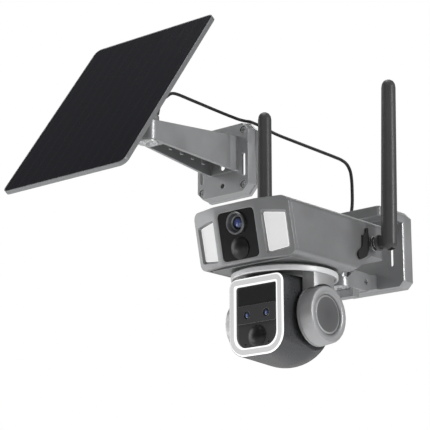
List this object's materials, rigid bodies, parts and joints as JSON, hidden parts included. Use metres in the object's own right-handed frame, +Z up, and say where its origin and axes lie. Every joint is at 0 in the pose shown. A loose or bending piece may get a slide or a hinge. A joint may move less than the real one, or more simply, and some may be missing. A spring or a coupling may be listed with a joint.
{
  "type": "solar-powered security camera",
  "caption": "Wall-mounted solar-powered security camera: fixed wide camera with floodlights and side antennas over a pan-tilt camera head, fed by a separate tilting solar panel through a cable",
  "frame": {"origin": "centre of the back face of the camera's wall plate", "axes": "+Z up along the wall, +Y into the wall, the camera faces -Y, +X to the right seen from the front"},
  "size_m": [0.4254, 0.3045, 0.4516],
  "materials": {
    "solar_wall_bracket": "satin silver-grey powder coat",
    "solar_wall_screw_1": "plated screw",
    "solar_wall_screw_2": "plated screw",
    "solar_wall_screw_3": "plated screw",
    "solar_wall_screw_4": "plated screw",
    "camera_wall_bracket": "satin silver-grey powder coat",
    "cable_grommet": "satin black rubber",
    "wall_cable_saddle": "matt black plastic",
    "panel_cable_wall_run": "satin black rubber",
    "panel_cable_lead_a": "satin black rubber",
    "solar_swivel_knuckle": "satin silver-grey powder coat",
    "solar_swivel_bolt": "plated screw",
    "solar_swivel_cap": "satin silver-grey moulded plastic",
    "knuckle_cable_clip": "matt black plastic",
    "panel_cable_lead_b": "satin black rubber",
    "solar_panel_frame": "anodised aluminium",
    "solar_cell_glass": "tempered glass over dark cells",
    "solar_back_sheet": "gloss black plastic",
    "junction_box": "matt black plastic",
    "cable_gland": "satin black rubber",
    "panel_hinge_bracket": "satin silver-grey powder coat",
    "panel_tilt_bolt": "plated screw",
    "panel_tilt_knob": "satin silver-grey moulded plastic",
    "camera_bracket_arm": "satin silver-grey powder coat",
    "bracket_tilt_screw": "plated screw",
    "camera_swivel_bolt": "plated screw",
    "camera_swivel_cap": "satin silver-grey moulded plastic",
    "housing_mount_foot": "satin silver-grey powder coat",
    "housing_shell": "satin silver-grey moulded plastic",
    "housing_front_bezel": "satin silver-grey moulded plastic",
    "housing_base_plate": "satin silver-grey moulded plastic",
    "lens_plate": "gloss black plastic",
    "lens_barrel": "anodised aluminium",
    "lens_glass": "coated lens glass",
    "pir_dome": "gloss black plastic",
    "led_diffuser_left": "white diffuser",
    "led_diffuser_right": "white diffuser",
    "main_board": "circuit board",
    "battery_pack": "wrapped cells",
    "antenna_socket_left": "plated screw",
    "antenna_socket_right": "plated screw",
    "rubber_port_cover": "satin black rubber",
    "antenna_knuckle_left": "matt black plastic",
    "antenna_knuckle_right": "matt black plastic",
    "antenna_left": "matt black plastic",
    "antenna_right": "matt black plastic",
    "pan_yoke": "satin silver-grey moulded plastic",
    "pan_shaft": "plated screw",
    "yoke_cover_left": "satin silver-grey moulded plastic",
    "yoke_cover_right": "satin silver-grey moulded plastic",
    "head_body": "dark grey satin plastic",
    "ring_light": "white diffuser",
    "head_front_panel": "gloss black plastic",
    "head_lens_window": "gloss black plastic",
    "head_lens_left": "coated lens glass",
    "head_lens_right": "coated lens glass",
    "head_pir_dome": "gloss black plastic",
    "head_board": "circuit board",
    "tilt_axle_left": "plated screw",
    "tilt_axle_right": "plated screw"
  },
  "bodies": {
    "wall": {"solar_wall_bracket": "solar_wall_bracket", "solar_wall_screw_1": "solar_wall_screw_1", "solar_wall_screw_2": "solar_wall_screw_2", "solar_wall_screw_3": "solar_wall_screw_3", "solar_wall_screw_4": "solar_wall_screw_4", "camera_wall_bracket": "camera_wall_bracket", "cable_grommet": "cable_grommet", "wall_cable_saddle": "wall_cable_saddle", "panel_cable_wall_run": "panel_cable_wall_run", "panel_cable_lead_a": "panel_cable_lead_a"},
    "solar_knuckle": {"solar_swivel_knuckle": "solar_swivel_knuckle", "solar_swivel_bolt": "solar_swivel_bolt", "solar_swivel_cap": "solar_swivel_cap", "knuckle_cable_clip": "knuckle_cable_clip", "panel_cable_lead_b": "panel_cable_lead_b"},
    "solar_panel": {"solar_panel_frame": "solar_panel_frame", "solar_cell_glass": "solar_cell_glass", "solar_back_sheet": "solar_back_sheet", "junction_box": "junction_box", "cable_gland": "cable_gland", "panel_hinge_bracket": "panel_hinge_bracket", "panel_tilt_bolt": "panel_tilt_bolt", "panel_tilt_knob": "panel_tilt_knob"},
    "camera_arm": {"camera_bracket_arm": "camera_bracket_arm", "bracket_tilt_screw": "bracket_tilt_screw"},
    "housing": {"camera_swivel_bolt": "camera_swivel_bolt", "camera_swivel_cap": "camera_swivel_cap", "housing_mount_foot": "housing_mount_foot", "housing_shell": "housing_shell", "housing_front_bezel": "housing_front_bezel", "housing_base_plate": "housing_base_plate", "lens_plate": "lens_plate", "lens_barrel": "lens_barrel", "lens_glass": "lens_glass", "pir_dome": "pir_dome", "led_diffuser_left": "led_diffuser_left", "led_diffuser_right": "led_diffuser_right", "main_board": "main_board", "battery_pack": "battery_pack", "antenna_socket_left": "antenna_socket_left", "antenna_socket_right": "antenna_socket_right"},
    "port_cover": {"rubber_port_cover": "rubber_port_cover"},
    "antenna_base_left": {"antenna_knuckle_left": "antenna_knuckle_left"},
    "antenna_base_right": {"antenna_knuckle_right": "antenna_knuckle_right"},
    "antenna_rod_left": {"antenna_left": "antenna_left"},
    "antenna_rod_right": {"antenna_right": "antenna_right"},
    "pan_unit": {"pan_yoke": "pan_yoke", "pan_shaft": "pan_shaft", "yoke_cover_left": "yoke_cover_left", "yoke_cover_right": "yoke_cover_right"},
    "camera_head": {"head_body": "head_body", "ring_light": "ring_light", "head_front_panel": "head_front_panel", "head_lens_window": "head_lens_window", "head_lens_left": "head_lens_left", "head_lens_right": "head_lens_right", "head_pir_dome": "head_pir_dome", "head_board": "head_board", "tilt_axle_left": "tilt_axle_left", "tilt_axle_right": "tilt_axle_right"}
  },
  "joints": [
    {"name": "solar_pan", "type": "hinge", "parent": "wall", "child": "solar_knuckle", "pos_m": [-0.2284, -0.159, 0.1795], "axis": [0, 0, 1], "range_deg": [-30, 30], "deforming": ["panel_cable_lead_a"]},
    {"name": "solar_tilt", "type": "hinge", "parent": "solar_knuckle", "child": "solar_panel", "pos_m": [-0.2284, -0.192, 0.19], "axis": [1, 0, 0], "range_deg": [-30, 30], "deforming": ["panel_cable_lead_b"]},
    {"name": "bracket_tilt", "type": "hinge", "parent": "wall", "child": "camera_arm", "pos_m": [0, -0.0483, -0.0401], "axis": [1, 0, 0], "range_deg": [-15, 30]},
    {"name": "camera_swivel", "type": "hinge", "parent": "camera_arm", "child": "housing", "pos_m": [0, -0.0824, -0.04], "axis": [0, 0, 1], "range_deg": [-45, 45]},
    {"name": "head_pan", "type": "hinge", "parent": "housing", "child": "pan_unit", "pos_m": [0, -0.1814, -0.056], "axis": [0, 0, 1], "range_deg": [-170, 170]},
    {"name": "head_tilt", "type": "hinge", "parent": "pan_unit", "child": "camera_head", "pos_m": [0, -0.1814, -0.1035], "axis": [1, 0, 0], "range_deg": [0, 90]},
    {"name": "antenna_spin_left", "type": "hinge", "parent": "housing", "child": "antenna_base_left", "pos_m": [-0.0884, -0.1067, -0.0141], "axis": [1, 0, 0], "range_deg": [-20, 90]},
    {"name": "antenna_fold_left", "type": "hinge", "parent": "antenna_base_left", "child": "antenna_rod_left", "pos_m": [-0.0884, -0.1067, -0.0141], "axis": [0, 1, 0], "range_deg": [-90, 0]},
    {"name": "antenna_spin_right", "type": "hinge", "parent": "housing", "child": "antenna_base_right", "pos_m": [0.0884, -0.1067, -0.0141], "axis": [1, 0, 0], "range_deg": [-20, 90]},
    {"name": "antenna_fold_right", "type": "hinge", "parent": "antenna_base_right", "child": "antenna_rod_right", "pos_m": [0.0884, -0.1067, -0.0141], "axis": [0, 1, 0], "range_deg": [0, 90]},
    {"name": "port_cover_hinge", "type": "hinge", "parent": "housing", "child": "port_cover", "pos_m": [0.067, -0.1188, 0.0012], "axis": [0, 1, 0], "range_deg": [-100, 0]}
  ]
}
